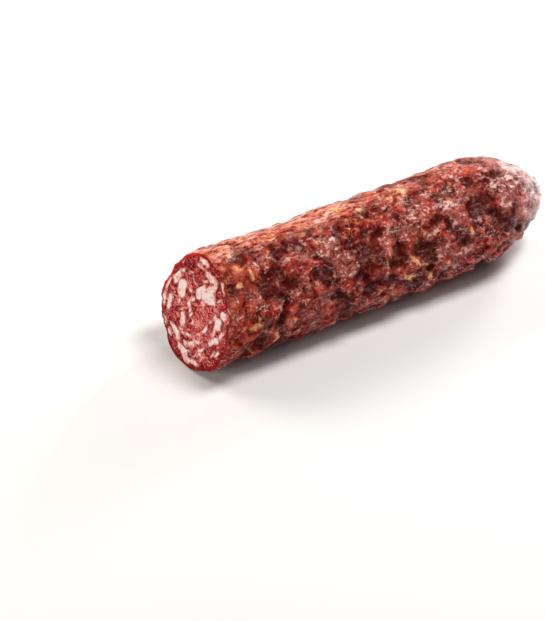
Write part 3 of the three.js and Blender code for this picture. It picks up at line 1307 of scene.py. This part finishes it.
@dataclass
class SausageLog:
    """The whole log: one closed mesh of casing and cut, dressed in its two finishes.

    A side is an angle round the log, and a band holds the cosines between which something reaches round it.
    """

    form: LogForm
    relief: CasingRelief
    under: Undercasing
    casing_finish: CasingFinish = CasingFinish()
    cut_finish: CutFinish = CutFinish()
    name: str = "sausage_log"
    crown_side: float = math.radians(330)
    crown_band: Span = (0.74, 0.97)
    crown_fades: Span = (60 * MM, 125 * MM)
    crown_loses: float = 0.75
    shoulder_side: float = math.radians(10)
    shoulder_band: Span = (0.2, 0.8)
    shoulder_least: float = 0.35
    glow_side: float = math.radians(300)
    glow_band: Span = (0.55, 0.9)
    no_fat: float = -9.0
    casing_share: float = 0.745
    disc_margin: float = 0.004
    map_margin: float = 0.002

    def build(self) -> bpy.types.Object:
        """Builds the mesh, its layers, its map and its finishes.

        Returns:
            The finished piece.
        """
        casing = self.relief.surface()
        ring = casing[0]
        rim = np.empty((2 * len(ring), 3))
        rim[0::2] = ring
        rim[1::2] = (ring + np.roll(ring, -1, axis=0)) / 2
        face = CutFace(self.form.cut, rim)
        self.number(face)
        rows = casing[:-1].reshape(-1, 3)
        points = np.concatenate([rows, casing[-1, :1], rim[1::2], face.points[self.inner]])
        faces = self.casing_faces()
        first_cut_face = len(faces)
        faces += self.cut_faces()
        mesh = bpy.data.meshes.new(self.name)
        mesh.from_pydata(points.tolist(), [], faces)
        mesh.materials.append(self.casing_finish.make())
        mesh.materials.append(self.cut_finish.make())
        is_cut = np.arange(len(faces)) >= first_cut_face
        mesh.polygons.foreach_set("material_index", is_cut.astype(np.int32))
        self.write_layers(mesh, face)
        self.write_map(mesh, face, is_cut)
        mesh.shade_smooth()
        self.sharpen_rim(mesh)
        mesh.validate()
        mesh.update()
        piece = bpy.data.objects.new(self.name, mesh)
        bpy.context.scene.collection.objects.link(piece)
        return piece

    def number(self, face: CutFace) -> None:
        """Gives every point of the cut's net its number in the whole mesh.

        Args:
            face: The cut.
        """
        around = self.form.around
        self.tip_number = self.form.rows * around
        self.first_between = self.tip_number + 1
        first_inner = self.first_between + around
        on_rim = face.out > 1 - 1e-9
        self.inner = ~on_rim
        self.net = np.zeros(face.out.shape, int)
        self.net[self.inner] = first_inner + np.arange(self.inner.sum())
        place = np.round(face.place_on_rim).astype(int) % (2 * around)
        numbered = np.where(place % 2 == 0, place // 2, self.first_between + place // 2)
        self.net[on_rim] = numbered[on_rim]

    def casing_faces(self) -> list[tuple[int, ...]]:
        """Lists the casing's faces: a first row that meets the finer rim, plain rows, and a fan at the tip.

        Returns:
            The numbers of each face's points.
        """
        around, rows = self.form.around, self.form.rows
        faces: list[tuple[int, ...]] = []
        for k in range(around):
            after = (k + 1) % around
            between = self.first_between + k
            faces.append((k, between, around + k))
            faces.append((between, after, around + after))
            faces.append((between, around + after, around + k))
        for row in range(1, rows - 1):
            here, there = row * around, (row + 1) * around
            for k in range(around):
                after = (k + 1) % around
                faces.append((here + k, here + after, there + after, there + k))
        last = (rows - 1) * around
        faces.extend((last + k, last + (k + 1) % around, self.tip_number) for k in range(around))
        return faces

    def cut_faces(self) -> list[tuple[int, ...]]:
        """Lists the cut's faces, turned to face away from the log.

        Returns:
            The numbers of each face's points.
        """
        net = self.net
        quads = np.stack([net[:-1, :-1], net[:-1, 1:], net[1:, 1:], net[1:, :-1]], axis=-1)
        return [tuple(quad) for quad in quads.reshape(-1, 4).tolist()]

    def write_layers(self, mesh: bpy.types.Mesh, face: CutFace) -> None:
        """Stores on the mesh's points what the finishes read.

        Args:
            mesh: The log's mesh.
            face: The cut.
        """
        between = np.zeros(self.form.around)
        inner = np.zeros(int(self.inner.sum()))
        whole = np.ones(self.form.from_cut.shape)
        for kind, share in self.under.share.items():
            self.store(mesh, kind.value, share, (share[0] + np.roll(share[0], -1)) / 2, inner)
        self.store(mesh, "raised", self.relief.raised, between + 0.5, inner)
        self.store(mesh, "from_cut", self.form.from_cut / MM, between, inner)
        on_points = np.full(len(mesh.vertices), self.no_fat)
        on_points[self.net.ravel()] = face.fat.ravel()
        depth = np.zeros(whole.shape)
        depth[:-1] = on_points[: self.tip_number].reshape(depth[:-1].shape)
        rim_depth = on_points[self.first_between : self.first_between + self.form.around]
        self.store(mesh, "cut_fat", depth, rim_depth, face.fat[self.inner])
        self.store(mesh, "rim", whole, between + 1, face.out[self.inner])
        # The crown: the top side near the cut, whose streaks are lightened by painted sheen.
        crown = ease(np.cos(self.form.angles * whole - self.crown_side), *self.crown_band)
        crown = crown * (1 - self.crown_loses * ease(self.form.from_cut, *self.crown_fades))
        self.store(mesh, "crown", crown, between, inner)
        # The shoulder: how strongly the line behind the cut and its painted highlight show round the log,
        # most at the top.
        reached = ease(np.cos(self.form.angles * whole - self.shoulder_side), *self.shoulder_band)
        shoulder = self.shoulder_least + (1 - self.shoulder_least) * reached
        self.store(mesh, "shoulder", shoulder, between + 0.5, inner)
        bearing = 2 * math.pi * face.place_on_rim / len(face.rim)
        glow = self.glow(self.form.angles) * whole
        self.store(mesh, "glow", glow, between, self.glow(bearing)[self.inner])

    def store(self, mesh: bpy.types.Mesh, name: str, casing: Array, rim: Array, cut: Array) -> None:
        """Stores one layer.

        Args:
            mesh: The log's mesh.
            name: The layer's name.
            casing: Its values on the casing's rows, of which the last is the tip.
            rim: Its values on the rim's points between those of the first row.
            cut: Its values on the rest of the cut.
        """
        values = np.concatenate([casing[:-1].ravel(), casing[-1, :1], rim, cut]).astype(np.float32)
        mesh.attributes.new(name, "FLOAT", "POINT").data.foreach_set("value", values)

    def glow(self, angle: Array) -> Array:
        """Gives how brightly the rim is lit through at an angle round the log."""
        return ease(np.cos(angle - self.glow_side), *self.glow_band)

    def write_map(self, mesh: bpy.types.Mesh, face: CutFace, is_cut: Array) -> None:
        """Lays the casing out as a strip and the cut as a disc above it.

        Args:
            mesh: The log's mesh.
            face: The cut.
            is_cut: Which faces are the cut's.
        """
        loops = np.empty(len(mesh.loops), np.int32)
        mesh.loops.foreach_get("vertex_index", loops)
        starts = np.empty(len(mesh.polygons), np.int32)
        mesh.polygons.foreach_get("loop_start", starts)
        totals = np.empty(len(mesh.polygons), np.int32)
        mesh.polygons.foreach_get("loop_total", totals)
        owner = np.repeat(np.arange(len(starts)), totals)
        strip_u, strip_v = self.strip(loops, starts, owner)
        disc_u, disc_v = self.disc(mesh, face)
        margin = self.map_margin
        u = np.where(is_cut[owner], disc_u[loops], strip_u * (1 - 2 * margin) + margin)
        v = np.where(is_cut[owner], disc_v[loops], strip_v * (1 - 5 * margin) + margin / 2)
        layer = mesh.uv_layers.new(name="OFBake")
        layer.data.foreach_set("uv", np.stack([u, v], axis=-1).astype(np.float32).ravel())

    def strip(self, loops: Array, starts: Array, owner: Array) -> tuple[Array, Array]:
        """Unrolls the casing, keeping whole the faces that close it.

        Args:
            loops: The point at each corner of each face.
            starts: Each face's first corner.
            owner: The face of each corner.

        Returns:
            The place along the log and round it for each corner.
        """
        around, rows = self.form.around, self.form.rows
        column = np.zeros(int(loops.max()) + 1)
        row = np.zeros(len(column))
        grid = np.arange(self.tip_number)
        column[: self.tip_number] = grid % around
        row[: self.tip_number] = grid // around
        row[self.tip_number] = rows
        column[self.first_between : self.first_between + around] = np.arange(around) + 0.5
        fan = loops == self.tip_number
        across = column[loops]
        first = np.full(len(starts), np.inf)
        np.minimum.at(first, owner, np.where(fan, np.inf, across))
        wrapped = np.maximum.reduceat(across, starts) - first > around / 2
        across = np.where(wrapped[owner] & (across < around / 2), across + around, across)
        across[fan] = first[owner[fan]] + 0.5
        return row[loops] / rows, across / around * self.casing_share

    def disc(self, mesh: bpy.types.Mesh, face: CutFace) -> tuple[Array, Array]:
        """Lays the cut flat in the strip's spare corner.

        Args:
            mesh: The log's mesh.
            face: The cut.

        Returns:
            The place of each of the mesh's points in the map.
        """
        flat = np.array([vertex.co for vertex in mesh.vertices])
        half = 0.5 * (1 - self.casing_share) - self.disc_margin
        reach = max(np.ptp(face.rim[:, 1]), np.ptp(face.rim[:, 2])) / 2
        u = half + self.disc_margin + (face.middle[1] - flat[:, 1]) / reach * half
        v = 1 - half - self.disc_margin / 2 + (flat[:, 2] - face.middle[2]) / reach * half
        return u, v

    def sharpen_rim(self, mesh: bpy.types.Mesh) -> None:
        """Keeps the cut's edge crisp.

        Args:
            mesh: The log's mesh.
        """
        rim = np.zeros(len(mesh.vertices), bool)
        rim[: self.form.around] = True
        rim[self.first_between : self.first_between + self.form.around] = True
        ends = np.empty(2 * len(mesh.edges), np.int32)
        mesh.edges.foreach_get("vertices", ends)
        sharp = rim[ends.reshape(-1, 2)].all(axis=1)
        mesh.attributes.new("sharp_edge", "BOOLEAN", "EDGE").data.foreach_set("value", sharp)


@dataclass(frozen=True)
class Lamp:
    """One soft lamp turned to the log, its place and size in metres and its power in watts."""

    name: str
    place: Triple
    size: Span
    power: float
    tint: Triple

    def build(self) -> None:
        """Hangs the lamp."""
        data = bpy.data.lights.new(self.name, "AREA")
        data.shape = "RECTANGLE"
        data.size, data.size_y = self.size
        data.energy = self.power
        data.color = self.tint
        lamp = bpy.data.objects.new(self.name, data)
        lamp.location = self.place
        lamp.rotation_euler = (-Vector(self.place)).to_track_quat("-Z", "Y").to_euler()
        bpy.context.scene.collection.objects.link(lamp)


@dataclass
class Studio:
    """A pale floor, soft lamps, a bright room and the camera."""

    azimuth: float = -32.2
    elevation: float = 37.0
    distance: float = 0.925
    lens: float = 116.2
    farthest: float = 20.0
    aim: Vector = Vector((-0.0438, 0.0118, -0.0005))
    floor_reach: float = 6.0
    floor_gap: float = 0.2 * MM
    floor_pattern: Pattern = Pattern(0.4, 1, 0.5)
    floor_tones: Stops = ((0.3, paint(222, 222, 222)), (0.7, paint(226, 226, 226)))
    floor_roughness: float = 0.9
    room_light: float = 0.08
    lamps: tuple[Lamp, ...] = (
        Lamp("top_softbox", (0.32, -0.12, 0.8), (0.28, 0.28), 6.8, (1.0, 0.98, 0.96)),
        Lamp("right_softbox", (0.75, 0.35, 0.4), (0.25, 0.3), 4.0, (1.0, 0.98, 0.97)),
        Lamp("back_softbox", (-0.35, 0.6, 0.5), (0.5, 0.25), 4.5, (1.0, 0.92, 0.82)),
        Lamp("front_fill", (-0.85, -0.22, 0.38), (0.4, 0.4), 3.4, (1.0, 0.99, 0.98)),
    )

    def build(self) -> None:
        """Sets everything up."""
        self.camera()
        self.floor()
        self.room()
        for lamp in self.lamps:
            lamp.build()
        bpy.context.scene.view_settings.view_transform = "Standard"

    def camera(self) -> None:
        """Places the camera on its bearing, looking at its aim."""
        data = bpy.data.cameras.new("camera")
        data.lens = self.lens
        data.clip_end = self.farthest
        camera = bpy.data.objects.new("camera", data)
        azimuth, elevation = math.radians(self.azimuth), math.radians(self.elevation)
        level = math.cos(elevation)
        bearing = Vector((math.sin(azimuth) * level, -math.cos(azimuth) * level, math.sin(elevation)))
        camera.location = self.aim + bearing * self.distance
        camera.rotation_euler = (-bearing).to_track_quat("-Z", "Y").to_euler()
        bpy.context.scene.collection.objects.link(camera)
        bpy.context.scene.camera = camera

    def floor(self) -> None:
        """Lays a wide pale floor just under the log."""
        reach = self.floor_reach
        mesh = bpy.data.meshes.new("floor")
        corners = [(-reach, -reach, 0), (reach, -reach, 0), (reach, reach, 0), (-reach, reach, 0)]
        mesh.from_pydata(corners, [], [(0, 1, 2, 3)])
        desk = NodeDesk("pale_floor")
        tone = desk.ramp(desk.noise(self.floor_pattern), self.floor_tones)
        desk.put(desk.shader, Base_Color=tone, Roughness=self.floor_roughness)
        mesh.materials.append(desk.material)
        floor = bpy.data.objects.new("floor", mesh)
        floor.location.z = -self.floor_gap
        bpy.context.scene.collection.objects.link(floor)

    def room(self) -> None:
        """Lights everything from a plain bright room."""
        world = bpy.data.worlds.new("room")
        world.use_nodes = True
        background = world.node_tree.nodes["Background"]
        background.inputs["Color"].default_value = (1, 1, 1, 1)
        background.inputs["Strength"].default_value = self.room_light
        bpy.context.scene.world = world


def write_sizes() -> None:
    """Updates the view layer."""
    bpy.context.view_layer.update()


def main() -> None:
    """Builds the log and the studio."""
    logging.basicConfig(level=logging.INFO, format="%(name)s: %(message)s")
    cut = CutPlane.from_record(frame["record"])
    form = LogForm(cut)
    log.info("form: %d rows of %d points", form.rows, form.around)
    under = Undercasing(form)
    relief = CasingRelief(form, under)
    log.info("casing relief: %.2f to %.2f mm", relief.height.min() / MM, relief.height.max() / MM)
    sausage = SausageLog(form, relief, under)
    piece = sausage.build()
    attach(piece, "root")
    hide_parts(NODE)
    log.info("%s: %d faces", piece.name, len(piece.data.polygons))
    Studio().build()
    write_sizes()


if __name__ == "__main__":
    main()
